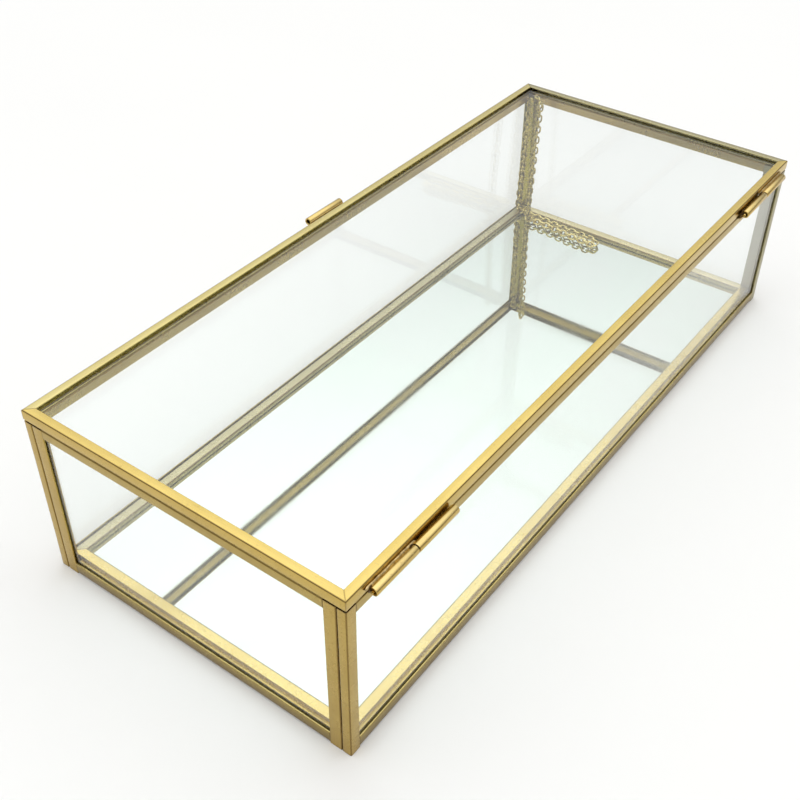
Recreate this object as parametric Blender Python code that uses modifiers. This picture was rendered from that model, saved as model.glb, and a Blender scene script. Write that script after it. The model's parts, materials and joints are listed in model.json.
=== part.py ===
"""Hinged glass jewelry box: brass channel frame, mirrored floor, glass lid and a stay chain.

Metres, +Z up. X runs along the box, Y across it, with the hinge on the +Y side and the lift
tab on the -Y side. The origin is the middle of the footprint, on the surface the box rests on.
"""

import math

import bmesh
import bpy
from mathutils import Matrix, Vector

MM = 0.001

# Overall size.
LENGTH = 233.7 * MM
WIDTH = 100.0 * MM
LID_TOP = 54.5 * MM

# Clearances between pieces that touch on the bench.
SEAM = 0.3 * MM
GLASS_GAP = 0.2 * MM
MITRE_GAP = 0.1 * MM

# Brass channel, folded from sheet.
SHEET = 0.4 * MM
CHANNEL = 2.7 * MM
POST_DEPTH = 3.3 * MM
RIM_DEPTH = 2.7 * MM
SILL_DEPTH = 3.9 * MM

# Floor frame and mirror.
FLOOR_INSET = CHANNEL + 0.5 * MM
FLOOR_HEIGHT = 5.3 * MM
FLOOR_FLANGE = 2.8 * MM
MIRROR_BOTTOM = 0.6 * MM
MIRROR_THICKNESS = 3.0 * MM
MIRROR_TOP = MIRROR_BOTTOM + MIRROR_THICKNESS

# Walls and lid.
RIM_TOP = 51.0 * MM
LID_BOTTOM = 51.4 * MM
LID_CHANNEL = LID_TOP - LID_BOTTOM
LID_FLANGE = 2.5 * MM
LID_GLASS_THICKNESS = 1.7 * MM

# Hinge barrels, pins and lift tab share one tube stock.
TUBE_RADIUS = 1.2 * MM
TUBE_BORE = 0.7 * MM
TUBE_OFFSET = 0.25 * MM
PIN_RADIUS = 0.45 * MM
HINGE_Y = WIDTH / 2 + TUBE_OFFSET + TUBE_RADIUS
HINGE_Z = 52.0 * MM
KNUCKLE_LENGTH = 14.9 * MM
KNUCKLE_INNER_END = 79.6 * MM
PIN_OVERHANG = 0.6 * MM
TAB_LENGTH = 15.4 * MM
TAB_Z = 54.05 * MM
ROUND_STEPS = 20

# Stay chain, from an eye on the front rim to an eye that a short tie holds to the lid's left rail.
# It drifts away from the left wall on its way down and along the floor.
LID_MAX_ANGLE = math.radians(111.0)
CHAIN_RADIUS = 1.3 * MM
BOX_CHAIN_X = -112.1 * MM
LID_CHAIN_X = -109.2 * MM
BOX_FOOT_X = -109.4 * MM
LID_FOOT_X = -106.2 * MM
TIP_DRIFT = 2.5 * MM
CHAIN_FLOOR_Z = MIRROR_TOP + CHAIN_RADIUS + GLASS_GAP
ELBOW_GAP = CHAIN_RADIUS + 0.6 * MM
CHAIN_POINT_SPACING = 3 * 2 * CHAIN_RADIUS
EYE_WIRE = 0.3 * MM
BOX_EYE_RADIUS = 1.1 * MM
LID_EYE_RADIUS = 1.3 * MM
BOX_EYE_Y = -WIDTH / 2 + CHANNEL + 0.25 * MM + BOX_EYE_RADIUS + EYE_WIRE
BOX_EYE_CENTRE = Vector((BOX_CHAIN_X, BOX_EYE_Y, 49.2 * MM))
LID_EYE_CENTRE = Vector((LID_CHAIN_X, -39.8 * MM, 50.3 * MM))
TIE_RADIUS = 0.4 * MM
TIE_START = Vector((-113.6, -43.9, 50.8)) * MM
TIE_END = Vector((-111.2, -40.4, 50.5)) * MM

HINGE_POINT = Vector((0, HINGE_Y, HINGE_Z))
SIDES = {"left": -1, "right": 1}
FACES = {"front": -1, "back": 1}


def clear_scene():
    for obj in list(bpy.data.objects):
        bpy.data.objects.remove(obj, do_unlink=True)


def make_collection(name):
    collection = bpy.data.collections.new(name)
    bpy.context.scene.collection.children.link(collection)
    return collection


def make_material(name, color, metallic, roughness, transmission=0.0):
    material = bpy.data.materials.new(name)
    material.use_nodes = True
    material.diffuse_color = (*color, 1.0)
    shader = material.node_tree.nodes["Principled BSDF"]
    shader.inputs["Base Color"].default_value = (*color, 1.0)
    shader.inputs["Metallic"].default_value = metallic
    shader.inputs["Roughness"].default_value = roughness
    shader.inputs["Transmission Weight"].default_value = transmission
    return material


def place(obj, name, material, parent):
    """Names the object, gives it its material and hangs it on its parent where it stands."""
    obj.name = name
    obj.data.name = name
    for collection in list(obj.users_collection):
        collection.objects.unlink(obj)
    BOX_PARTS.objects.link(obj)
    obj.data.materials.clear()
    obj.data.materials.append(material)
    obj.parent = parent
    obj.matrix_parent_inverse = Matrix.Translation(-parent_point(parent))
    return obj


def parent_point(empty):
    """An empty's place in the world; every empty is unrotated."""
    point = Vector(empty.location)
    while empty.parent:
        empty = empty.parent
        point = point + empty.location
    return point


def make_pivot(name, point, parent=None):
    empty = bpy.data.objects.new(name, None)
    empty.empty_display_size = 5 * MM
    empty.location = point if parent is None else point - parent_point(parent)
    empty.parent = parent
    BOX_PARTS.objects.link(empty)
    return empty


def channel_outline(width, depth):
    """U section as (across, deep) points: web at deep = 0, outer flange at across = 0."""
    return [
        (0, 0),
        (width, 0),
        (width, depth),
        (width - SHEET, depth),
        (width - SHEET, SHEET),
        (SHEET, SHEET),
        (SHEET, depth),
        (0, depth),
    ]


def floor_outline():
    """The channel of the floor frame, its top flange turned down to just above the mirror."""
    lip_end = MIRROR_TOP + GLASS_GAP
    return [
        (0, 0),
        (FLOOR_HEIGHT, 0),
        (FLOOR_HEIGHT, FLOOR_FLANGE),
        (lip_end, FLOOR_FLANGE),
        (lip_end, FLOOR_FLANGE - SHEET),
        (FLOOR_HEIGHT - SHEET, FLOOR_FLANGE - SHEET),
        (FLOOR_HEIGHT - SHEET, SHEET),
        (SHEET, SHEET),
        (SHEET, FLOOR_FLANGE),
        (0, FLOOR_FLANGE),
    ]


# Columns of each matrix: where a flat outline's own X, Y and its thickness point in the world.
OUTLINE_FRAMES = {
    "X": Matrix(((0, 0, 1), (1, 0, 0), (0, 1, 0))).to_4x4(),
    "Y": Matrix(((1, 0, 0), (0, 0, -1), (0, 1, 0))).to_4x4(),
    "Z": Matrix.Identity(4),
}


def extruded(outline, axis, length, centre=0.0):
    """A mesh object of a flat outline, drawn in the two axes other than the one it runs along."""
    curve = bpy.data.curves.new("outline", "CURVE")
    curve.dimensions = "2D"
    curve.fill_mode = "BOTH"
    curve.extrude = length / 2
    spline = curve.splines.new("POLY")
    spline.points.add(len(outline) - 1)
    for point, (u, v) in zip(spline.points, outline):
        point.co = (u, v, 0, 1)
    spline.use_cyclic_u = True
    guide = bpy.data.objects.new("outline", curve)
    BOX_PARTS.objects.link(guide)
    bpy.context.view_layer.update()
    evaluated = guide.evaluated_get(bpy.context.evaluated_depsgraph_get())
    mesh = bpy.data.meshes.new_from_object(evaluated)
    bpy.data.objects.remove(guide, do_unlink=True)
    run = {"X": Vector((centre, 0, 0)), "Y": Vector((0, centre, 0)), "Z": Vector((0, 0, centre))}[axis]
    mesh.transform(Matrix.Translation(run) @ OUTLINE_FRAMES[axis])
    edit = bmesh.new()
    edit.from_mesh(mesh)
    bmesh.ops.remove_doubles(edit, verts=edit.verts, dist=0.01 * MM)
    bmesh.ops.recalc_face_normals(edit, faces=edit.faces)
    edit.to_mesh(mesh)
    edit.free()
    obj = bpy.data.objects.new("extruded", mesh)
    BOX_PARTS.objects.link(obj)
    return obj


def cut_mitre(obj, corner, normal):
    """Cuts the object off beyond a vertical plane near a corner of the box and closes the cut."""
    edit = bmesh.new()
    edit.from_mesh(obj.data)
    direction = Vector(normal).normalized()
    bmesh.ops.bisect_plane(
        edit,
        geom=edit.verts[:] + edit.edges[:] + edit.faces[:],
        dist=0.001 * MM,
        plane_co=Vector(corner) - direction * MITRE_GAP,
        plane_no=direction,
        clear_outer=True,
    )
    open_edges = [edge for edge in edit.edges if edge.is_boundary]
    bmesh.ops.holes_fill(edit, edges=open_edges, sides=0)
    bmesh.ops.recalc_face_normals(edit, faces=edit.faces)
    edit.to_mesh(obj.data)
    edit.free()


def make_box(name, low, high, material, parent):
    """A rectangular piece between two corners."""
    low, high = Vector(low), Vector(high)
    bpy.ops.mesh.primitive_cube_add(size=1, location=(low + high) / 2)
    obj = bpy.context.object
    obj.scale = high - low
    bpy.ops.object.transform_apply(location=False, rotation=False, scale=True)
    return place(obj, name, material, parent)


def make_tube(name, centre, length, material, parent):
    """A short length of tube lying along X, turned from its wall's section."""
    mesh = bpy.data.meshes.new(name)
    half = length / 2
    section = [(TUBE_RADIUS, half), (TUBE_RADIUS, -half), (TUBE_BORE, -half), (TUBE_BORE, half)]
    edges = [(i, (i + 1) % len(section)) for i in range(len(section))]
    mesh.from_pydata([(x, 0, z) for x, z in section], edges, [])
    obj = bpy.data.objects.new(name, mesh)
    BOX_PARTS.objects.link(obj)
    turn = obj.modifiers.new("turn", "SCREW")
    turn.steps = ROUND_STEPS
    turn.render_steps = ROUND_STEPS
    turn.use_merge_vertices = False
    turn.use_smooth_shade = True
    obj.location = centre
    obj.rotation_euler = (0, math.pi / 2, 0)
    return place(obj, name, material, parent)


def make_wire(name, start, end, radius, material, parent):
    """A straight round wire or chain run between two points, with flat ends."""
    start, end = Vector(start), Vector(end)
    curve = bpy.data.curves.new(name, "CURVE")
    curve.dimensions = "3D"
    curve.bevel_depth = radius
    curve.bevel_resolution = 2
    curve.use_fill_caps = True
    count = max(2, round((end - start).length / CHAIN_POINT_SPACING) + 1)
    spline = curve.splines.new("POLY")
    spline.points.add(count - 1)
    for i, point in enumerate(spline.points):
        point.co = (*start.lerp(end, i / (count - 1)), 1)
    obj = bpy.data.objects.new(name, curve)
    BOX_PARTS.objects.link(obj)
    return place(obj, name, material, parent)


def make_eye(name, centre, radius, rotation, material, parent):
    """A wire ring that the chain's end link passes through."""
    bpy.ops.mesh.primitive_torus_add(
        major_segments=ROUND_STEPS,
        minor_segments=8,
        major_radius=radius,
        minor_radius=EYE_WIRE,
        location=centre,
        rotation=rotation,
    )
    obj = bpy.context.object
    obj.data.shade_smooth()
    return place(obj, name, material, parent)


def build_mitred_frame(label, outline, base_z, half_length, half_width, material, parent):
    """Four channels opening inward, with their corners cut at 45 degrees."""
    for face, sign in FACES.items():
        section = [(sign * (half_width - deep), base_z + across) for across, deep in outline]
        obj = extruded(section, "X", 2 * half_length)
        for side in SIDES.values():
            cut_mitre(obj, (side * half_length, sign * half_width, 0), (side, -sign, 0))
        place(obj, f"{label}_{face}", material, parent)
    for side, sign in SIDES.items():
        section = [(sign * (half_length - deep), base_z + across) for across, deep in outline]
        obj = extruded(section, "Y", 2 * half_width)
        for face in FACES.values():
            cut_mitre(obj, (sign * half_length, face * half_width, 0), (-sign, face, 0))
        place(obj, f"{label}_{side}", material, parent)


def build_floor(brass, mirror, parent):
    """Four mitred channels that hold the mirror by its edges."""
    half_length = LENGTH / 2 - FLOOR_INSET
    half_width = WIDTH / 2 - FLOOR_INSET
    build_mitred_frame("floor_frame", floor_outline(), 0, half_length, half_width, brass, parent)
    edge = FLOOR_INSET + SHEET + GLASS_GAP
    make_box(
        "base_mirror",
        (-LENGTH / 2 + edge, -WIDTH / 2 + edge, MIRROR_BOTTOM),
        (LENGTH / 2 - edge, WIDTH / 2 - edge, MIRROR_TOP),
        mirror,
        parent,
    )


def build_wall_rails(material, parent):
    """Sill channels at the bottom of each wall and rim channels at its top, between the posts."""
    long_run = LENGTH - 2 * (POST_DEPTH + SEAM)
    short_run = WIDTH - 2 * (CHANNEL + SEAM + POST_DEPTH + SEAM)
    sill = channel_outline(CHANNEL, SILL_DEPTH)
    rim = channel_outline(CHANNEL, RIM_DEPTH)
    for face, sign in FACES.items():
        low = [(sign * (WIDTH / 2 - across), deep) for across, deep in sill]
        high = [(sign * (WIDTH / 2 - across), RIM_TOP - deep) for across, deep in rim]
        place(extruded(low, "X", long_run), f"sill_{face}", material, parent)
        place(extruded(high, "X", long_run), f"rim_{face}", material, parent)
    for side, sign in SIDES.items():
        low = [(sign * (LENGTH / 2 - across), deep) for across, deep in sill]
        high = [(sign * (LENGTH / 2 - across), RIM_TOP - deep) for across, deep in rim]
        place(extruded(low, "Y", short_run), f"sill_{side}", material, parent)
        place(extruded(high, "Y", short_run), f"rim_{side}", material, parent)


def build_posts(material, parent):
    """At each corner, one channel grips the long wall and a second grips the short wall."""
    outline = channel_outline(CHANNEL, POST_DEPTH)
    inner_start = WIDTH / 2 - CHANNEL - SEAM
    for face, y_sign in FACES.items():
        for side, x_sign in SIDES.items():
            long_side = [
                (x_sign * (LENGTH / 2 - deep), y_sign * (WIDTH / 2 - across)) for across, deep in outline
            ]
            short_side = [
                (x_sign * (LENGTH / 2 - across), y_sign * (inner_start - deep)) for across, deep in outline
            ]
            corner = f"{face}_{side}"
            outer = extruded(long_side, "Z", RIM_TOP, RIM_TOP / 2)
            inner = extruded(short_side, "Z", RIM_TOP, RIM_TOP / 2)
            place(outer, f"post_{corner}_long_side", material, parent)
            place(inner, f"post_{corner}_short_side", material, parent)


def build_walls(material, parent):
    """Four panes, each standing in its sill, posts and rim."""
    low_z = SHEET + GLASS_GAP
    high_z = RIM_TOP - SHEET - GLASS_GAP
    outer = SHEET + GLASS_GAP
    inner = CHANNEL - SHEET - GLASS_GAP
    half_long = LENGTH / 2 - SHEET - GLASS_GAP
    half_short = WIDTH / 2 - CHANNEL - SEAM - SHEET - GLASS_GAP
    for face, sign in FACES.items():
        y_near, y_far = sorted((sign * (WIDTH / 2 - outer), sign * (WIDTH / 2 - inner)))
        make_box(f"glass_{face}", (-half_long, y_near, low_z), (half_long, y_far, high_z), material, parent)
    for side, sign in SIDES.items():
        x_near, x_far = sorted((sign * (LENGTH / 2 - outer), sign * (LENGTH / 2 - inner)))
        make_box(f"glass_{side}", (x_near, -half_short, low_z), (x_far, half_short, high_z), material, parent)


def build_lid(brass, glass, parent):
    """Four mitred channels round one pane, with the lift tab on the front rail."""
    outline = channel_outline(LID_CHANNEL, LID_FLANGE)
    build_mitred_frame("lid_rail", outline, LID_BOTTOM, LENGTH / 2, WIDTH / 2, brass, parent)
    edge = SHEET + GLASS_GAP
    middle = (LID_TOP + LID_BOTTOM) / 2
    make_box(
        "lid_glass",
        (-LENGTH / 2 + edge, -WIDTH / 2 + edge, middle - LID_GLASS_THICKNESS / 2),
        (LENGTH / 2 - edge, WIDTH / 2 - edge, middle + LID_GLASS_THICKNESS / 2),
        glass,
        parent,
    )
    make_tube("lift_tab", Vector((0, -HINGE_Y, TAB_Z)), TAB_LENGTH, brass, parent)


def build_hinges(material, box_parent, lid_parent):
    """At each end of the back edge: a box barrel, a lid barrel outside it and a wire through both."""
    step = KNUCKLE_LENGTH + SEAM
    box_middle = KNUCKLE_INNER_END + KNUCKLE_LENGTH / 2
    pin_start = KNUCKLE_INNER_END - PIN_OVERHANG
    pin_end = KNUCKLE_INNER_END + step + KNUCKLE_LENGTH - PIN_OVERHANG
    for side, sign in SIDES.items():
        box_point = Vector((sign * box_middle, HINGE_Y, HINGE_Z))
        lid_point = Vector((sign * (box_middle + step), HINGE_Y, HINGE_Z))
        make_tube(f"hinge_barrel_box_{side}", box_point, KNUCKLE_LENGTH, material, box_parent)
        make_tube(f"hinge_barrel_lid_{side}", lid_point, KNUCKLE_LENGTH, material, lid_parent)
        make_wire(
            f"hinge_pin_{side}",
            (sign * pin_start, HINGE_Y, HINGE_Z),
            (sign * pin_end, HINGE_Y, HINGE_Z),
            PIN_RADIUS,
            material,
            box_parent,
        )


def chain_runs():
    """How far back the two runs on the floor reach, so that the chain is just taut with the lid wide open."""
    lid_turn = Matrix.Rotation(-LID_MAX_ANGLE, 4, "X")
    opened = HINGE_POINT + lid_turn @ (LID_EYE_CENTRE - HINGE_POINT)
    span = math.hypot(opened.y - BOX_EYE_CENTRE.y, opened.z - BOX_EYE_CENTRE.z)
    hanging = BOX_EYE_CENTRE.z + LID_EYE_CENTRE.z - 2 * CHAIN_FLOOR_Z
    apart = LID_EYE_CENTRE.y - BOX_EYE_CENTRE.y
    return (span - hanging + apart) / 2, (span - hanging - apart) / 2


def build_chain(material, box_parent, lid_parent):
    """Two hanging runs and two floor runs, end to end from the rim's eye to the lid's eye."""
    make_eye("chain_eye_box", BOX_EYE_CENTRE, BOX_EYE_RADIUS, (0, math.pi / 2, 0), material, box_parent)
    make_eye("chain_eye_lid", LID_EYE_CENTRE, LID_EYE_RADIUS, (math.pi / 2, 0, 0), material, lid_parent)
    make_wire("chain_tie_lid", TIE_START, TIE_END, TIE_RADIUS, material, lid_parent)
    box_floor_run, lid_floor_run = chain_runs()
    ends = {
        "box": (BOX_EYE_CENTRE, BOX_EYE_RADIUS, BOX_FOOT_X, box_floor_run, box_parent),
        "lid": (LID_EYE_CENTRE, LID_EYE_RADIUS, LID_FOOT_X, lid_floor_run, lid_parent),
    }
    for end, (eye, eye_radius, foot_x, floor_run, eye_parent) in ends.items():
        foot = Vector((foot_x, eye.y, CHAIN_FLOOR_Z))
        tip = foot + Vector((TIP_DRIFT, floor_run, 0))
        swing = make_pivot(f"chain_{end}_swing_pivot", eye, eye_parent)
        fold = make_pivot(f"chain_{end}_fold_pivot", foot, swing)
        down = (foot - eye).normalized()
        back = (tip - foot).normalized()
        top = eye + down * (eye_radius + EYE_WIRE + SEAM)
        make_wire(f"chain_{end}_hanging_run", top, foot - down * ELBOW_GAP, CHAIN_RADIUS, material, swing)
        make_wire(f"chain_{end}_floor_run", foot + back * ELBOW_GAP, tip, CHAIN_RADIUS, material, fold)


clear_scene()
BOX_PARTS = make_collection("jewelry_box")

FLOOR_BRASS = make_material("floor_brass", (0.66, 0.52, 0.25), 1.0, 0.25)
WALL_BRASS = make_material("wall_brass", (0.50, 0.40, 0.20), 1.0, 0.32)
LID_BRASS = make_material("lid_brass", (0.76, 0.53, 0.18), 1.0, 0.24)
HINGE_BRASS = make_material("hinge_brass", (0.70, 0.47, 0.15), 1.0, 0.28)
CHAIN_BRASS = make_material("chain_brass", (0.78, 0.63, 0.28), 1.0, 0.22)
WALL_GLASS = make_material("wall_glass", (0.93, 0.98, 0.96), 0.0, 0.02, 1.0)
LID_GLASS = make_material("lid_glass", (0.95, 0.99, 0.98), 0.0, 0.02, 1.0)
MIRROR = make_material("mirror", (0.86, 0.93, 0.90), 1.0, 0.03)

BOX_BASE = make_pivot("box_base", Vector((0, 0, 0)))
LID_PIVOT = make_pivot("lid_hinge_pivot", HINGE_POINT, BOX_BASE)

build_floor(FLOOR_BRASS, MIRROR, BOX_BASE)
build_wall_rails(WALL_BRASS, BOX_BASE)
build_posts(WALL_BRASS, BOX_BASE)
build_walls(WALL_GLASS, BOX_BASE)
build_lid(LID_BRASS, LID_GLASS, LID_PIVOT)
build_hinges(HINGE_BRASS, BOX_BASE, LID_PIVOT)
build_chain(CHAIN_BRASS, BOX_BASE, LID_PIVOT)
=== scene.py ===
"""Looks of the hinged glass jewelry box: folded brass channels, clear panes, a mirrored floor,
rolled hinge barrels and a fine stay chain, on a pale floor in soft studio light.

Everything is in metres in the frame of the CAD: X along the box, hinge on the +Y side, +Z up.
"""

import json
import math
import random

import bmesh
import bpy
from mathutils import Matrix, Vector, noise


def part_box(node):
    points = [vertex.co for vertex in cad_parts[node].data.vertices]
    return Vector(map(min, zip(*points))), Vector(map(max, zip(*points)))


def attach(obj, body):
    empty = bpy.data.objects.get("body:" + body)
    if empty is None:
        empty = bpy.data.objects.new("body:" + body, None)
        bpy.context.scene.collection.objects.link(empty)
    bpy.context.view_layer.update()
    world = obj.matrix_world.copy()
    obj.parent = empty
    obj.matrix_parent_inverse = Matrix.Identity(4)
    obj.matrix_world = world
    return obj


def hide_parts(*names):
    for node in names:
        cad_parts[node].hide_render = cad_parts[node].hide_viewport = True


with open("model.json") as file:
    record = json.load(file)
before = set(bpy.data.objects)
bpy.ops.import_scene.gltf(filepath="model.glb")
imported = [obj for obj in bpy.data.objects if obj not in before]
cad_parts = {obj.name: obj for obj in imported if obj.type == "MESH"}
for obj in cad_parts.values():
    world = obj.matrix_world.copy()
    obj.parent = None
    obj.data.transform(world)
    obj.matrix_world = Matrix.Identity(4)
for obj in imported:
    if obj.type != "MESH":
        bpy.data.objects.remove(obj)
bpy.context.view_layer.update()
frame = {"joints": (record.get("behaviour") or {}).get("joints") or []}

MM = 0.001
X, Y, Z = 0, 1, 2
FACES = {"front": -1, "back": 1}
SIDES = {"left": -1, "right": 1}
# The walls, the axis that they run along and the axis that they face.
WALLS = ((FACES, X, Y), (SIDES, Y, X))
JOINTS = {joint["name"]: joint for joint in frame["joints"]}
noise.seed_set(5)

# Folded channel.
SHEET = 0.4 * MM
BEND_RADIUS = 0.38 * MM
INNER_BEND_RADIUS = 0.2 * MM
LIP_RADIUS = 0.13 * MM
SILL_BEND_RADIUS = 0.8 * MM
FLOOR_BEND_RADIUS = 0.45 * MM
MIRROR_CLEARANCE = 0.2 * MM
ARC_STEPS = 6
STATION_SPACING = 3.0 * MM
# How far a channel wanders from straight, and over what length.
BOW = 0.05 * MM
BOW_LENGTH = 38 * MM

# The CAD leaves gaps for solder. Channels go this much further to close them, at the posts, at the
# mitres and between the two channels of a post. SEAM_CLOSE narrows the seam between rim and lid.
POST_REACH = 0.28 * MM
MITRE_REACH = 0.14 * MM
POST_CLOSE = 0.24 * MM
SEAM_CLOSE = 0.12 * MM
# How far the solder round the floor runs over the channels on both sides.
LAP = 0.08 * MM

# A fold sharper than this is shaded as an edge.
SHARP_ANGLE = math.radians(38)

# Darkening, from 0 to 1: painted shade in the folds, on the web of the floor frame and at the foot of
# the sills, and stain at the ends of each channel over the stain's length.
SHADE_AND_STAIN_STRENGTH = 0.8
WEB_SHADE = 0.85
SILL_FADE = 0.85
END_TARNISH = 0.75
JOINT_STAIN = 0.35 * MM

# Upright faces of the brass are painted darker and browner than level ones, as painted shade. A face
# counts as upright when the upward part of its normal is under the first share, and as level when it is
# over the second.
SIDE_SHADE_TONE = (0.80, 0.73, 0.52)
UPRIGHT_BELOW = 0.35
LEVEL_ABOVE = 0.85

# Tones of the brass and of the solder, as (bright, aged).
FRAME_TONES = ((0.59, 0.485, 0.19), (0.47, 0.365, 0.125))
# The rims' tones are darker than the sills': painted shade under the lid's rails.
SHADED_RIM_TONES = ((0.58, 0.46, 0.17), (0.42, 0.30, 0.09))
POST_TONES = ((0.61, 0.46, 0.145), (0.49, 0.345, 0.09))
# The posts at the two left corners are darker copies of the post brass: painted shade.
OLIVE_POST_SHADE_TONES = ((0.52, 0.48, 0.075), (0.40, 0.35, 0.045))
SHADED_POST_TONES = ((0.42, 0.41, 0.28), (0.31, 0.30, 0.19))
TUBE_TONES = ((0.78, 0.60, 0.24), (0.56, 0.40, 0.14))
# The hanging chain's tones are darker and the lying chain's lighter, one brass in two copies: painted
# shade and painted light.
SHADED_HANGING_CHAIN_TONES = ((0.70, 0.61, 0.23), (0.48, 0.39, 0.12))
LIT_LYING_CHAIN_TONES = ((0.86, 0.75, 0.32), (0.64, 0.52, 0.18))
DARK_LUMP_TONES = ((0.10, 0.055, 0.02), (0.05, 0.03, 0.015))
SOLDER_TONES = ((0.66, 0.50, 0.24), (0.32, 0.24, 0.12))
LID_TONES = {
    "back": ((0.73, 0.56, 0.18), (0.60, 0.44, 0.12)),
    "right": ((0.73, 0.56, 0.18), (0.60, 0.44, 0.12)),
    "front": ((0.72, 0.62, 0.27), (0.60, 0.50, 0.20)),
    "left": ((0.52, 0.48, 0.28), (0.42, 0.37, 0.20)),
}
FLOOR_TONES = {
    "back": ((0.80, 0.64, 0.21), (0.69, 0.52, 0.15)),
    "right": ((0.80, 0.64, 0.21), (0.69, 0.52, 0.15)),
    "front": ((0.50, 0.46, 0.27), (0.40, 0.36, 0.20)),
    "left": ((0.70, 0.62, 0.34), (0.58, 0.50, 0.25)),
}
SPECK_TONE = (0.26, 0.17, 0.06)
ROLLED_LINE_TONE = (0.30, 0.22, 0.08)
SHADE_AND_STAIN_TONE = (0.15, 0.09, 0.025)

# Glass and mirror.
GLASS_TINT = (0.985, 1.0, 0.995)
MIRROR_TINT = (0.71, 0.785, 0.73)
DUST_TONE = (0.65, 0.69, 0.66)
ARRIS = 0.22 * MM
WALL_BEDDING = 0.13 * MM

# Rolled tube. The seams are angles from +Y up to +Z.
TUBE_SEGMENTS = 72
TUBE_BORE = 0.7 * MM
TUBE_EASE = 0.15 * MM
SEAM_DEPTH = 0.10 * MM
SEAM_HALF_ANGLE = math.radians(5)
BOX_BARREL_SEAM = math.radians(200)
LID_BARREL_SEAM = math.radians(150)
TAB_SEAM = math.radians(20)
PIN_SEGMENTS = 24
# The pin's outline, as (share of half its length, share of its radius).
PIN_PROFILE = ((-1.0, 0.6), (-0.99, 0.95), (-0.98, 1.0), (0.98, 1.0), (0.99, 0.95), (1.0, 0.6))

# Beads of solder: the size along X, Y and Z, and where they sit along a tube, from 0 to 1.
BOX_BARREL_BEAD = (2.3 * MM, 0.5 * MM, 0.42 * MM)
LID_BARREL_BEAD = (2.3 * MM, 0.42 * MM, 0.6 * MM)
TAB_BEAD = (1.8 * MM, 0.4 * MM, 0.5 * MM)
EYE_BEAD = (0.6 * MM, 0.5 * MM, 0.7 * MM)
TIE_BEAD = (0.7 * MM, 0.7 * MM, 0.45 * MM)
DARK_LUMP_BEAD = (1.0 * MM, 0.42 * MM, 1.0 * MM)
BARREL_BEADS = (0.06, 0.2, 0.35, 0.5, 0.65, 0.8, 0.94)
TAB_BEADS = (0.15, 0.5, 0.85)
BEAD_UNEVENNESS = 0.18

# Chain. LINK_WIRE is the radius of the wire. Turns are in degrees and the unevenness in radians.
LINK_WIRE = 0.31 * MM
LINK_WIDTH = 2.6 * MM
LINK_LENGTH = 3.5 * MM
LINK_PITCH = 2.05 * MM
CHAIN_DIAMETER = 2.6 * MM
CHAIN_RADIUS = CHAIN_DIAMETER / 2
HANGING_TURN = 60
LYING_TURN = 35
LYING_SWAY = 0.25 * MM
SWAY_TURNS = 9.0
SWAY_PHASE = 900
LINK_UNEVENNESS = 0.22
TIE_LINKS = 2
TIE_FIRST_LINK = 0.8 * MM
MIDDLE_LINK_PLAY = 0.6 * MM

# Camera.
CAMERA_PLACE = Vector((0.229763, 0.145500, 0.230129))
CAMERA_TARGET = Vector((0.032679, 0.001650, 0.027250))
CAMERA_ROLL = math.radians(0.4585)
CAMERA_LENS = 50.640
SENSOR_WIDTH = 36.0

# Light of the room as (height, light), the height being the sine of the angle above the horizon,
# and how much brighter it gets towards -X and -Y.
SKY_STEPS = (
    (0.0, 0.25),
    (1.0, 1.62),
    (0.2, 0.34),
    (0.42, 0.60),
    (0.545, 0.92),
    (0.65, 1.18),
    (0.77, 1.46),
)
SKY_PEAK = 1.62
SKY_SLANT_X = 0.36
SKY_SLANT_Y = 0.22
FLOOR_SIZE = 6
FLOOR_DROP = 0.05 * MM


# Node trees

def new_material(name):
    material = bpy.data.materials.new(name)
    material.use_nodes = True
    return material, material.node_tree, material.node_tree.nodes["Principled BSDF"]


def add_node(tree, kind, **inputs):
    """A node with its sockets set; a value that is a socket is linked."""
    node = tree.nodes.new(kind)
    for name, value in inputs.items():
        socket = node.inputs[name.replace("_", " ")]
        if isinstance(value, bpy.types.NodeSocket):
            tree.links.new(value, socket)
        else:
            socket.default_value = value
    return node


def object_place(tree, scale=(1, 1, 1)):
    """The place on the object, in metres, stretched by scale."""
    place = tree.nodes.new("ShaderNodeTexCoord").outputs["Object"]
    return add_node(tree, "ShaderNodeMapping", Vector=place, Scale=scale).outputs["Vector"]


def noise_value(tree, vector, scale, detail=3.0, roughness=0.5):
    node = add_node(
        tree, "ShaderNodeTexNoise", Vector=vector, Scale=scale, Detail=detail, Roughness=roughness
    )
    return node.outputs["Fac"]


def remap(tree, value, from_low, from_high, to_low, to_high):
    node = tree.nodes.new("ShaderNodeMapRange")
    node.clamp = True
    tree.links.new(value, node.inputs["Value"])
    names = ("From Min", "From Max", "To Min", "To Max")
    for name, number in zip(names, (from_low, from_high, to_low, to_high)):
        node.inputs[name].default_value = number
    return node.outputs["Result"]


def math_node(tree, operation, a, b):
    node = tree.nodes.new("ShaderNodeMath")
    node.operation = operation
    for socket, value in zip(node.inputs, (a, b)):
        if isinstance(value, bpy.types.NodeSocket):
            tree.links.new(value, socket)
        else:
            socket.default_value = value
    return node.outputs[0]


def mix_color(tree, factor, a, b, blend="MIX"):
    node = tree.nodes.new("ShaderNodeMix")
    node.data_type = "RGBA"
    node.blend_type = blend
    sockets = (node.inputs["Factor"], node.inputs[6], node.inputs[7])
    for socket, value in zip(sockets, (factor, a, b)):
        if isinstance(value, bpy.types.NodeSocket):
            tree.links.new(value, socket)
        elif isinstance(value, (int, float)):
            socket.default_value = value
        else:
            socket.default_value = (*value, 1.0)
    return node.outputs[2]


def bump(tree, height, strength, distance):
    node = add_node(tree, "ShaderNodeBump", Height=height, Strength=strength, Distance=distance)
    return node.outputs["Normal"]


# Materials

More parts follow.
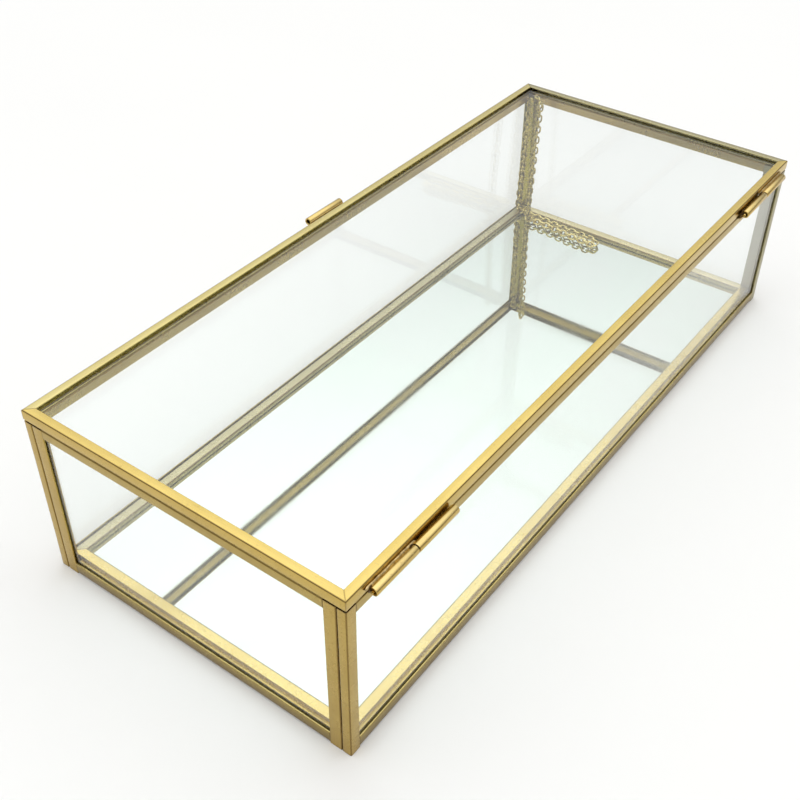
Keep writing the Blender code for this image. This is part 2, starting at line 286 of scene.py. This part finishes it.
def make_brass(name, tones, roughness, grain_axis, age=0.5):
    """Rolled brass: fine lines along grain_axis, a slow drift of tone, specks of stain, stain at the
    channel ends, and painted shade in the folds and on upright faces.
    """
    bright, aged = tones
    material, tree, shader = new_material(name)
    stretch = [1.0, 1.0, 1.0]
    if grain_axis is not None:
        stretch[grain_axis] = 0.03
    even = object_place(tree)
    along = object_place(tree, stretch)
    drift = noise_value(tree, even, 60, 4.0, 0.6)
    specks = noise_value(tree, even, 900, 3.0, 0.7)
    lines = noise_value(tree, along, 5000, 2.0, 0.6)
    toned = mix_color(tree, remap(tree, drift, 0.35, 0.70, 0.0, age), bright, aged)
    speckled = mix_color(tree, remap(tree, specks, 0.60, 0.80, 0.0, 0.45 * age), toned, SPECK_TONE)
    lined = mix_color(tree, remap(tree, lines, 0.3, 0.7, 0.0, 0.12), speckled, ROLLED_LINE_TONE)
    # The fold attribute is painted shade in the bends, on the floor frame's web and at the sills' foot,
    # and stain at the channel ends.
    fold = tree.nodes.new("ShaderNodeAttribute")
    fold.attribute_name = "fold"
    shade_and_stain = remap(tree, fold.outputs["Fac"], 0.0, 1.0, 0.0, SHADE_AND_STAIN_STRENGTH)
    folded = mix_color(tree, shade_and_stain, lined, SHADE_AND_STAIN_TONE)
    # Upright faces are darkened here: painted shade.
    normal = tree.nodes.new("ShaderNodeSeparateXYZ")
    tree.links.new(tree.nodes.new("ShaderNodeTexCoord").outputs["Normal"], normal.inputs[0])
    level = math_node(tree, "ABSOLUTE", normal.outputs["Z"], 0.0)
    upright = remap(tree, level, UPRIGHT_BELOW, LEVEL_ABOVE, 1.0, 0.0)
    shaded_sides = mix_color(tree, upright, folded, SIDE_SHADE_TONE, "MULTIPLY")
    tree.links.new(shaded_sides, shader.inputs["Base Color"])
    shader.inputs["Metallic"].default_value = 1.0
    shader.inputs["Coat Weight"].default_value = 0.15
    shader.inputs["Coat Roughness"].default_value = 0.12
    rough = remap(tree, drift, 0.3, 0.8, roughness, roughness + 0.12)
    rough = math_node(tree, "ADD", rough, remap(tree, specks, 0.55, 0.85, 0.0, 0.2))
    tree.links.new(rough, shader.inputs["Roughness"])
    height = math_node(tree, "ADD", math_node(tree, "MULTIPLY", lines, 0.3), drift)
    tree.links.new(bump(tree, height, 0.25, 0.00006), shader.inputs["Normal"])
    return material


def make_glass():
    """Clear float glass that lets the light through, with the faint marks that wiping leaves."""
    material, tree, shader = new_material("clear_glass")
    shader.inputs["Base Color"].default_value = (*GLASS_TINT, 1.0)
    shader.inputs["Transmission Weight"].default_value = 1.0
    shader.inputs["IOR"].default_value = 1.5
    wipes = noise_value(tree, object_place(tree, (1.0, 1.0, 0.3)), 45, 3.0, 0.6)
    tree.links.new(remap(tree, wipes, 0.55, 0.8, 0.0, 0.03), shader.inputs["Roughness"])
    clear = add_node(tree, "ShaderNodeBsdfTransparent", Color=(0.95, 0.97, 0.96, 1.0))
    shadow = tree.nodes.new("ShaderNodeLightPath").outputs["Is Shadow Ray"]
    output = tree.nodes["Material Output"]
    mix = tree.nodes.new("ShaderNodeMixShader")
    tree.links.new(shadow, mix.inputs[0])
    tree.links.new(shader.outputs[0], mix.inputs[1])
    tree.links.new(clear.outputs[0], mix.inputs[2])
    tree.links.new(mix.outputs[0], output.inputs["Surface"])
    return material


def make_mirror():
    """Silvered glass: a slightly green reflection under a clear face, with wiping marks and dust."""
    material, tree, shader = new_material("silvered_mirror")
    place = object_place(tree)
    wipes = noise_value(tree, object_place(tree, (0.6, 1.6, 1.0)), 30, 4.0, 0.6)
    dust = noise_value(tree, place, 1500, 2.0, 0.5)
    dusty = mix_color(tree, remap(tree, dust, 0.68, 0.80, 0.0, 0.5), MIRROR_TINT, DUST_TONE)
    tree.links.new(dusty, shader.inputs["Base Color"])
    tree.links.new(remap(tree, wipes, 0.45, 0.8, 0.02, 0.09), shader.inputs["Roughness"])
    shader.inputs["Metallic"].default_value = 1.0
    shader.inputs["Coat Weight"].default_value = 1.0
    shader.inputs["Coat Roughness"].default_value = 0.01
    return material


def make_solder():
    material, tree, shader = new_material("brass_solder")
    lumps = noise_value(tree, object_place(tree), 1200, 3.0, 0.6)
    tone = mix_color(tree, remap(tree, lumps, 0.35, 0.7, 0.0, 1.0), *SOLDER_TONES)
    tree.links.new(tone, shader.inputs["Base Color"])
    tree.links.new(remap(tree, lumps, 0.3, 0.8, 0.28, 0.55), shader.inputs["Roughness"])
    shader.inputs["Metallic"].default_value = 1.0
    tree.links.new(bump(tree, lumps, 0.5, 0.00012), shader.inputs["Normal"])
    return material


def make_wall_brass(name, wall_tones, roughness):
    """One brass for each wall, with its lines along that wall."""
    return {
        wall: make_brass(f"{name}_{wall}", wall_tones[wall], roughness, run)
        for walls, run, _ in WALLS
        for wall in walls
    }


FRAME_BRASS = [make_brass(f"frame_brass_{axis}", FRAME_TONES, 0.22, i) for i, axis in enumerate("xy")]
# Darker brass for the rims: painted shade under the lid's rails.
SHADED_RIM_BRASS = [make_brass(f"shaded_rim_brass_{axis}", SHADED_RIM_TONES, 0.24, i) for i, axis in enumerate("xy")]
LID_BRASS = make_wall_brass("lid_brass", LID_TONES, 0.18)
FLOOR_BRASS = make_wall_brass("floor_brass", FLOOR_TONES, 0.22)
POST_BRASS = make_brass("post_brass", POST_TONES, 0.22, Z)
# The two left corners get darker copies of the post brass: painted shade.
CORNER_BRASS = {
    ("front", "left"): make_brass("olive_post_shade_brass", OLIVE_POST_SHADE_TONES, 0.22, Z),
    ("back", "left"): make_brass("shaded_brass", SHADED_POST_TONES, 0.28, Z),
}
TUBE_BRASS = make_brass("tube_brass", TUBE_TONES, 0.18, X, 0.6)
# The hanging chain is a darker copy and the lying chain a lighter copy of one brass: painted shade and
# painted light.
SHADED_CHAIN_BRASS = make_brass("chain_brass", SHADED_HANGING_CHAIN_TONES, 0.20, None, 0.6)
LIT_LYING_BRASS = make_brass("lying_chain_brass", LIT_LYING_CHAIN_TONES, 0.16, None)
GLASS = make_glass()
MIRROR = make_mirror()
SOLDER = make_solder()
DARK_LUMP_BRASS = make_brass("dark_lump_brass", DARK_LUMP_TONES, 0.35, None)


# Mesh helpers

def finish_piece(name, edit, material, body, nodes=()):
    """Makes the object, shades it smooth with crisp folds, and hangs it on its body."""
    bmesh.ops.recalc_face_normals(edit, faces=edit.faces)
    mesh = bpy.data.meshes.new(name)
    edit.to_mesh(mesh)
    edit.free()
    mesh.shade_smooth()
    mesh.set_sharp_from_angle(angle=SHARP_ANGLE)
    mesh.materials.append(material)
    obj = bpy.data.objects.new(name, mesh)
    bpy.context.scene.collection.objects.link(obj)
    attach(obj, body)
    if nodes:
        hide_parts(*nodes)
    return obj


def rounded_outline(corners):
    """An outline of right-angled corners, given as (point, radius), with each turned into an arc.
    Every point comes with how far into a fold it is, from 0 to 1."""
    outline = []
    for i, (point, radius) in enumerate(corners):
        here = Vector(point)
        back = (Vector(corners[i - 1][0]) - here).normalized()
        ahead = (Vector(corners[(i + 1) % len(corners)][0]) - here).normalized()
        centre = here + (back + ahead) * radius
        for step in range(ARC_STEPS + 1):
            turn = step / ARC_STEPS * math.pi / 2
            point = centre - (ahead * math.cos(turn) + back * math.sin(turn)) * radius
            # The fold value darkens the bend in make_brass: painted shade.
            fold = math.sin(2 * turn) if radius >= BEND_RADIUS / 2 else 0.0
            outline.append((point, fold))
    return outline


def channel_section(width, depth, bend=BEND_RADIUS):
    """U section of folded sheet as (across, deep): web at deep = 0, outer flange at across = 0."""
    return rounded_outline([
        ((0, 0), bend),
        ((width, 0), bend),
        ((width, depth), LIP_RADIUS),
        ((width - SHEET, depth), LIP_RADIUS),
        ((width - SHEET, SHEET), INNER_BEND_RADIUS),
        ((SHEET, SHEET), INNER_BEND_RADIUS),
        ((SHEET, depth), LIP_RADIUS),
        ((0, depth), LIP_RADIUS),
    ])


def sill_section(width, depth):
    """The sills are folded to a rounder back, and are painted darker towards their foot, as painted shade
    from the shadowed floor beside them.
    """
    outline = channel_section(width, depth, SILL_BEND_RADIUS)
    return [(point, max(fold, 1 - SILL_FADE * point.y / depth)) for point, fold in outline]


def floor_section(width, depth):
    """The same channel, painted brown on the web as painted shade in the gap beside the sill, with its top
    flange turned down to just above the mirror.
    """
    lip_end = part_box("base_mirror")[1].z + MIRROR_CLEARANCE
    outline = rounded_outline([
        ((0, 0), LIP_RADIUS),
        ((width, 0), LIP_RADIUS),
        ((width, depth), FLOOR_BEND_RADIUS),
        ((lip_end, depth), LIP_RADIUS),
        ((lip_end, depth - SHEET), LIP_RADIUS),
        ((width - SHEET, depth - SHEET), INNER_BEND_RADIUS),
        ((width - SHEET, SHEET), INNER_BEND_RADIUS),
        ((SHEET, SHEET), INNER_BEND_RADIUS),
        ((SHEET, depth), LIP_RADIUS),
        ((0, depth), LIP_RADIUS),
    ])
    # The web is the face at deep = 0, up to where its top edge begins to round.
    web_top = width - 0.9 * LIP_RADIUS
    return [
        (point, WEB_SHADE if point.y < LIP_RADIUS / 8 and point.x < web_top else fold)
        for point, fold in outline
    ]


def bridge_rings(edit, rings, closed=False):
    """Faces between each ring of points and the next."""
    count = len(rings[0])
    last = len(rings) if closed else len(rings) - 1
    for i in range(last):
        near, far = rings[i], rings[(i + 1) % len(rings)]
        for j in range(count):
            k = (j + 1) % count
            edit.faces.new((near[j], near[k], far[k], far[j]))


def build_channel(
    node, run, deep, across, material, body,
    section=channel_section, mitred=False, reach=0.0, web_out=0.0, flange_out=0.0,
):
    """A folded channel in the place of a CAD node. deep and across are (axis, direction) away from
    the web and away from the outer flange. To close a joint, each end goes on by reach, and the web
    and the outer flange move out by web_out and flange_out."""
    low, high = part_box(node)
    deep_axis, deep_sign = deep
    across_axis, across_sign = across
    depth = high[deep_axis] - low[deep_axis] + web_out
    width = high[across_axis] - low[across_axis] + flange_out
    outline = section(width, depth)
    web = (low[deep_axis] if deep_sign > 0 else high[deep_axis]) - deep_sign * web_out
    flange = (low[across_axis] if across_sign > 0 else high[across_axis]) - across_sign * flange_out
    low[run] -= reach
    high[run] += reach
    stations = max(2, round((high[run] - low[run]) / STATION_SPACING))
    seed = noise.random_vector() * 50
    edit = bmesh.new()
    folds = edit.verts.layers.float.new("fold")
    rings = []
    edge = JOINT_STAIN / (high[run] - low[run])
    shares = [0.0, edge, *(i / stations for i in range(1, stations)), 1 - edge, 1.0]
    for share in shares:
        stain = END_TARNISH if share in (0.0, 1.0) else 0.0
        ring = []
        for (a, d), fold in outline:
            inset = d if mitred else 0.0
            point = Vector((0, 0, 0))
            point[run] = low[run] + inset + (high[run] - low[run] - 2 * inset) * share
            bow = noise.noise_vector(seed + Vector((point[run] / BOW_LENGTH, 0, 0))) * BOW
            fade = min(1.0, 4 * share, 4 * (1 - share))
            point[deep_axis] = web + deep_sign * (d + (BOW + bow.x) * fade * (1 - d / depth))
            point[across_axis] = flange + across_sign * (a + (BOW + bow.y) * fade * (1 - a / width))
            vert = edit.verts.new(point)
            vert[folds] = max(fold, stain)
            ring.append(vert)
        rings.append(ring)
    bridge_rings(edit, rings)
    edit.faces.new(rings[0])
    edit.faces.new(rings[-1])
    finish_piece(f"{node}_folded", edit, material, body, [node])


def add_block(edit, low, high, ease):
    """A block between two corners, with its edges rounded off by ease."""
    bmesh.ops.create_cube(edit, size=1.0, matrix=Matrix.LocRotScale((low + high) / 2, None, high - low))
    bmesh.ops.bevel(edit, geom=edit.edges[:], offset=ease, segments=2, affect="EDGES")


def build_pane(node, material, body, bedding=0.0):
    """A cut pane with its sharp edges ground off. bedding on each face fills its channel."""
    low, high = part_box(node)
    thin = min((X, Y, Z), key=lambda axis: high[axis] - low[axis])
    low[thin] -= bedding
    high[thin] += bedding
    edit = bmesh.new()
    add_block(edit, low, high, ARRIS)
    finish_piece(f"{node}_pane", edit, material, body, [node])


def build_tube(node, seam_angle, body):
    """A rolled tube along X, with rounded mouths and the closed seam of the roll."""
    low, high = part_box(node)
    centre = (low + high) / 2
    radius = (high.z - low.z) / 2
    half = (high.x - low.x) / 2
    mouth = [
        (half - TUBE_EASE, radius),
        (half - 0.3 * TUBE_EASE, radius - 0.3 * TUBE_EASE),
        (half, radius - TUBE_EASE),
        (half, TUBE_BORE + TUBE_EASE),
        (half - TUBE_EASE, TUBE_BORE),
    ]
    profile = mouth + [(-x, r) for x, r in reversed(mouth)]
    edit = bmesh.new()
    rings = []
    for i in range(TUBE_SEGMENTS):
        angle = 2 * math.pi * i / TUBE_SEGMENTS
        off_seam = abs((angle - seam_angle + math.pi) % (2 * math.pi) - math.pi)
        groove = SEAM_DEPTH * max(0.0, 1 - off_seam / SEAM_HALF_ANGLE)
        ring = []
        for x, r in profile:
            depth = groove if r > (radius + TUBE_BORE) / 2 else 0.0
            offset = Vector((x, (r - depth) * math.cos(angle), (r - depth) * math.sin(angle)))
            ring.append(edit.verts.new(centre + offset))
        rings.append(ring)
    bridge_rings(edit, rings, closed=True)
    finish_piece(f"{node}_rolled", edit, TUBE_BRASS, body, [node])


def build_pin(side):
    """The wire through a pair of barrels, with its ends rounded."""
    pin = f"hinge_pin_{side}"
    low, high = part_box(pin)
    centre = (low + high) / 2
    radius = (high.z - low.z) / 2
    half = (high.x - low.x) / 2
    edit = bmesh.new()
    rings = []
    for share, r in PIN_PROFILE:
        ring = []
        for i in range(PIN_SEGMENTS):
            angle = 2 * math.pi * i / PIN_SEGMENTS
            out = Vector((0, math.cos(angle), math.sin(angle))) * radius * r
            ring.append(edit.verts.new(centre + Vector((share * half, 0, 0)) + out))
        rings.append(ring)
    bridge_rings(edit, rings)
    edit.faces.new(rings[0])
    edit.faces.new(rings[-1])
    finish_piece(f"{pin}_wire", edit, TUBE_BRASS, "box", [pin])


# The box

def build_walls():
    """The sill, the rim and the floor frame's channel of each wall."""
    for walls, run, facing in WALLS:
        for wall, sign in walls.items():
            inward = (facing, -sign)
            build_channel(
                f"sill_{wall}", run, (Z, 1), inward, FRAME_BRASS[run], "box",
                sill_section, reach=POST_REACH,
            )
            build_channel(
                f"rim_{wall}", run, (Z, -1), inward, SHADED_RIM_BRASS[run], "box",
                reach=POST_REACH, web_out=SEAM_CLOSE,
            )
            build_channel(
                f"floor_frame_{wall}", run, inward, (Z, 1), FLOOR_BRASS[wall], "box",
                floor_section, mitred=True, reach=MITRE_REACH,
            )


def build_posts():
    """Two channels at each corner, each holding one wall's pane."""
    for face, y_sign in FACES.items():
        for side, x_sign in SIDES.items():
            post = f"post_{face}_{side}"
            in_x, in_y = (X, -x_sign), (Y, -y_sign)
            brass = CORNER_BRASS.get((face, side), POST_BRASS)
            build_channel(f"{post}_long_side", Z, in_x, in_y, brass, "box")
            build_channel(
                f"{post}_short_side", Z, in_y, in_x, brass, "box", web_out=POST_CLOSE
            )


def build_floor_joints():
    """A run of solder, as yellow as the brass, joins the floor frame to the inner flange of each sill."""
    for walls, _, facing in WALLS:
        for wall, sign in walls.items():
            low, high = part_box(f"sill_{wall}")
            floor_low, floor_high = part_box(f"floor_frame_{wall}")
            if sign > 0:
                low[facing], high[facing] = floor_high[facing] - LAP, low[facing] + SHEET
            else:
                low[facing], high[facing] = high[facing] - SHEET, floor_low[facing] + LAP
            low.z, high.z = high.z - SHEET, high.z + LAP
            edit = bmesh.new()
            add_block(edit, low, high, LAP)
            finish_piece(f"floor_joint_{wall}", edit, FLOOR_BRASS[wall], "box")


def build_lid_frame():
    for walls, run, facing in WALLS:
        for wall, sign in walls.items():
            build_channel(
                f"lid_rail_{wall}", run, (facing, -sign), (Z, 1), LID_BRASS[wall], "lid",
                mitred=True, reach=MITRE_REACH, flange_out=SEAM_CLOSE,
            )


def build_panes():
    for wall in (*FACES, *SIDES):
        build_pane(f"glass_{wall}", GLASS, "box", WALL_BEDDING)
    build_pane("lid_glass", GLASS, "lid")
    build_pane("base_mirror", MIRROR, "box")


def build_tubes():
    for side in SIDES:
        build_tube(f"hinge_barrel_box_{side}", BOX_BARREL_SEAM, "box")
        build_tube(f"hinge_barrel_lid_{side}", LID_BARREL_SEAM, "lid")
        build_pin(side)
    build_tube("lift_tab", TAB_SEAM, "lid")


def add_bead(edit, centre, size, rng):
    """A lump of solder: a rounded form of that size, pulled about a little."""
    made = bmesh.ops.create_icosphere(edit, subdivisions=3, radius=1.0)
    offset = Vector((rng.random(), rng.random(), rng.random())) * 100
    for vert in made["verts"]:
        swell = 1 + BEAD_UNEVENNESS * noise.noise(vert.co * 1.6 + offset)
        vert.co = Vector(centre) + Vector([c * s * swell for c, s in zip(vert.co, size)])


def lid_tie_ends():
    """From the corner of the lid's frame to the ring the chain hangs from."""
    low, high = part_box("chain_tie_lid")
    return Vector((low.x, low.y, high.z)), Vector(JOINTS["chain_lid_swing"]["pos_m"])


def build_solder():
    """Solder in the angles between the tubes and the rails, and at the chain's eyes."""
    rng = random.Random(7)
    on_box, on_lid = bmesh.new(), bmesh.new()
    for side in SIDES:
        low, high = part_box(f"hinge_barrel_box_{side}")
        for share in BARREL_BEADS:
            place = (low.x + (high.x - low.x) * share, low.y + 0.05 * MM, low.z - 0.1 * MM)
            add_bead(on_box, place, BOX_BARREL_BEAD, rng)
        low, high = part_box(f"hinge_barrel_lid_{side}")
        for share in BARREL_BEADS:
            place = (low.x + (high.x - low.x) * share, low.y + 0.05 * MM, high.z - 0.4 * MM)
            add_bead(on_lid, place, LID_BARREL_BEAD, rng)
    low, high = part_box("lift_tab")
    for share in TAB_BEADS:
        place = (low.x + (high.x - low.x) * share, high.y - 0.05 * MM, low.z + 0.6 * MM)
        add_bead(on_lid, place, TAB_BEAD, rng)
    low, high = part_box("chain_eye_box")
    add_bead(on_box, (low.x, low.y, high.z - 0.8 * MM), EYE_BEAD, rng)
    add_bead(on_lid, lid_tie_ends()[0], TIE_BEAD, rng)
    build_dark_lumps(rng)
    finish_piece("solder_on_box", on_box, SOLDER, "box")
    finish_piece("solder_on_lid", on_lid, SOLDER, "lid")


def build_dark_lumps(rng):
    """Near-black lumps at both ends of the barrel that is further to the right in each hinge."""
    on_box, on_lid = bmesh.new(), bmesh.new()
    for side in SIDES:
        box_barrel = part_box(f"hinge_barrel_box_{side}")
        lid_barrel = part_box(f"hinge_barrel_lid_{side}")
        box_last = box_barrel[1].x > lid_barrel[1].x
        (low, high), dark_lumps = (box_barrel, on_box) if box_last else (lid_barrel, on_lid)
        for x in (low.x + 0.7 * MM, high.x - 0.2 * MM):
            add_bead(dark_lumps, (x, low.y + 0.3 * MM, high.z - 0.9 * MM), DARK_LUMP_BEAD, rng)
    finish_piece("dark_lumps_on_box", on_box, DARK_LUMP_BRASS, "box")
    finish_piece("dark_lumps_on_lid", on_lid, DARK_LUMP_BRASS, "lid")


# The stay chain

def add_wire_loop(edit, line, radius, sides=8):
    """A closed round wire along the points of a flat loop."""
    count = len(line)
    middle = sum(line, Vector()) / count
    normal = (line[0] - middle).cross(line[count // 4] - middle).normalized()
    rings = []
    for i, point in enumerate(line):
        tangent = (line[(i + 1) % count] - line[i - 1]).normalized()
        out = tangent.cross(normal)
        ring = []
        for j in range(sides):
            angle = 2 * math.pi * j / sides
            offset = (out * math.cos(angle) + normal * math.sin(angle)) * radius
            ring.append(edit.verts.new(point + offset))
        rings.append(ring)
    bridge_rings(edit, rings, closed=True)


def add_link(edit, centre, along, flat, length=LINK_LENGTH):
    """One oval link: along its length, flat across its width."""
    end_radius = LINK_WIDTH / 2 - LINK_WIRE
    straight = length / 2 - LINK_WIDTH / 2
    line = []
    for end in (1, -1):
        for step in range(11):
            angle = math.pi * (step / 10 - 0.5)
            line.append(
                centre
                + along * end * (straight + end_radius * math.cos(angle))
                + flat * end * end_radius * math.sin(angle)
            )
    add_wire_loop(edit, line, LINK_WIRE)


def build_chain_run(body, start, end, first_turn, sway, material, rng):
    """Links from one point to another, each turned a quarter from the last."""
    run = end - start
    count = max(2, round(run.length / LINK_PITCH))
    along = run.normalized()
    side = Vector((1, 0, 0))
    third = along.cross(side)
    edit = bmesh.new()
    path = []
    for i in range(count + 1):
        share = i / count
        drift = math.sin(share * math.pi) * math.sin(share * SWAY_TURNS + start.y * SWAY_PHASE)
        path.append(start.lerp(end, share) + side * sway * drift)
    for i in range(count):
        centre = (path[i] + path[i + 1]) / 2
        direction = (path[i + 1] - path[i]).normalized()
        turn = math.radians(first_turn + (90 if i % 2 else 0))
        turn += rng.uniform(-LINK_UNEVENNESS, LINK_UNEVENNESS)
        flat = (side * math.cos(turn) + third * math.sin(turn)).normalized()
        flat = (flat - direction * flat.dot(direction)).normalized()
        add_link(edit, centre, direction, flat)
    obj = finish_piece(f"{body}_links", edit, material, body, [f"{body}_run"])


def build_eye(node, body, axis):
    """A round wire ring in the place of the CAD one."""
    low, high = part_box(node)
    centre = (low + high) / 2
    radius = (high.z - low.z) / 2 - LINK_WIRE
    across = Vector((0, 1, 0)) if axis == X else Vector((1, 0, 0))
    up = Vector((0, 0, 1))
    turns = [2 * math.pi * i / 40 for i in range(40)]
    line = [centre + (across * math.cos(t) + up * math.sin(t)) * radius for t in turns]
    edit = bmesh.new()
    add_wire_loop(edit, line, LINK_WIRE, sides=12)
    finish_piece(f"{node}_ring", edit, SHADED_CHAIN_BRASS, body, [node])


def build_tie():
    """Links from the corner of the lid's frame to the ring the chain hangs from."""
    corner, ring = lid_tie_ends()
    along = (ring - corner).normalized()
    edit = bmesh.new()
    for i in range(TIE_LINKS):
        flat = Vector((0, 0, 1)) if i % 2 else along.cross(Vector((0, 0, 1)))
        add_link(edit, corner + along * (TIE_FIRST_LINK + i * LINK_PITCH), along, flat)
    finish_piece("chain_lid_tie", edit, SHADED_CHAIN_BRASS, "lid", ["chain_tie_lid"])


def build_middle_link(one_end, other_end):
    """The long link that joins the two lying runs."""
    edit = bmesh.new()
    reach = (one_end - other_end).length + 2 * LINK_WIRE + MIDDLE_LINK_PLAY
    add_link(edit, (one_end + other_end) / 2, Vector((1, 0, 0)), Vector((0, 1, 0)), length=reach)
    finish_piece("chain_middle_link", edit, LIT_LYING_BRASS, "chain_box_floor")


def build_chain():
    """The stay chain hangs from both eyes and lies along the left end of the mirror."""
    rng = random.Random(11)
    tips = []
    for end, eye_axis in (("box", X), ("lid", Y)):
        eye = Vector(JOINTS[f"chain_{end}_swing"]["pos_m"])
        foot = Vector(JOINTS[f"chain_{end}_fold"]["pos_m"])
        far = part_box(f"chain_{end}_floor_run")[1]
        tip = Vector((far.x - CHAIN_RADIUS, far.y, foot.z))
        hanging, lying = f"chain_{end}_hanging", f"chain_{end}_floor"
        build_chain_run(hanging, eye, foot, HANGING_TURN, 0.0, SHADED_CHAIN_BRASS, rng)
        build_chain_run(lying, foot, tip, LYING_TURN, LYING_SWAY, LIT_LYING_BRASS, rng)
        build_eye(f"chain_eye_{end}", end, eye_axis)
        tips.append(tip)
    build_tie()
    build_middle_link(*tips)


# Studio

def build_camera():
    ahead = (CAMERA_TARGET - CAMERA_PLACE).normalized()
    right = ahead.cross(Vector((0, 0, 1))).normalized()
    up = right.cross(ahead)
    tilted_right = right * math.cos(CAMERA_ROLL) + up * math.sin(CAMERA_ROLL)
    tilted_up = up * math.cos(CAMERA_ROLL) - right * math.sin(CAMERA_ROLL)
    data = bpy.data.cameras.new("photo_camera")
    data.lens = CAMERA_LENS
    data.sensor_width = SENSOR_WIDTH
    data.clip_start = 0.01
    camera = bpy.data.objects.new("photo_camera", data)
    turn = Matrix((tilted_right, tilted_up, -ahead)).transposed()
    camera.matrix_world = Matrix.LocRotScale(CAMERA_PLACE, turn.to_quaternion(), None)
    bpy.context.scene.collection.objects.link(camera)
    bpy.context.scene.camera = camera


def build_floor():
    bpy.ops.mesh.primitive_plane_add(size=FLOOR_SIZE, location=(0, 0, -FLOOR_DROP))
    floor = bpy.context.object
    floor.name = "studio_floor"
    material, tree, shader = new_material("pale_floor")
    tone = noise_value(tree, object_place(tree), 8, 2.0, 0.5)
    color = mix_color(tree, tone, (0.86, 0.86, 0.845), (0.88, 0.88, 0.87))
    tree.links.new(color, shader.inputs["Base Color"])
    shader.inputs["Roughness"].default_value = 0.6
    shader.inputs["Specular IOR Level"].default_value = 0.2
    floor.data.materials.append(material)


def build_world():
    """A white room: brightest overhead, dim at the horizon, and brighter behind the box than before it."""
    world = bpy.data.worlds.new("studio_world")
    bpy.context.scene.world = world
    world.use_nodes = True
    tree = world.node_tree
    background = tree.nodes["Background"]
    direction = tree.nodes.new("ShaderNodeTexCoord").outputs["Generated"]
    parts = add_node(tree, "ShaderNodeSeparateXYZ", Vector=direction).outputs
    ramp = tree.nodes.new("ShaderNodeValToRGB")
    tree.links.new(parts["Z"], ramp.inputs["Fac"])
    for i, (height, light) in enumerate(SKY_STEPS):
        stop = ramp.color_ramp.elements[i] if i < 2 else ramp.color_ramp.elements.new(height)
        stop.position = height
        share = light / SKY_PEAK
        stop.color = (share, share, share, 1.0)
    ahead = math_node(tree, "MULTIPLY", parts["X"], -SKY_SLANT_X)
    ahead = math_node(tree, "ADD", ahead, math_node(tree, "MULTIPLY", parts["Y"], -SKY_SLANT_Y))
    low = math_node(tree, "SUBTRACT", 1.0, parts["Z"])
    slant = math_node(tree, "ADD", math_node(tree, "MULTIPLY", ahead, low), 1.0)
    tree.links.new(ramp.outputs["Color"], background.inputs["Color"])
    tree.links.new(math_node(tree, "MULTIPLY", slant, SKY_PEAK), background.inputs["Strength"])


build_camera()
build_chain()
build_walls()
build_posts()
build_floor_joints()
build_lid_frame()
build_panes()
build_tubes()
build_solder()
build_floor()
build_world()
bpy.context.scene.view_settings.view_transform = "Standard"
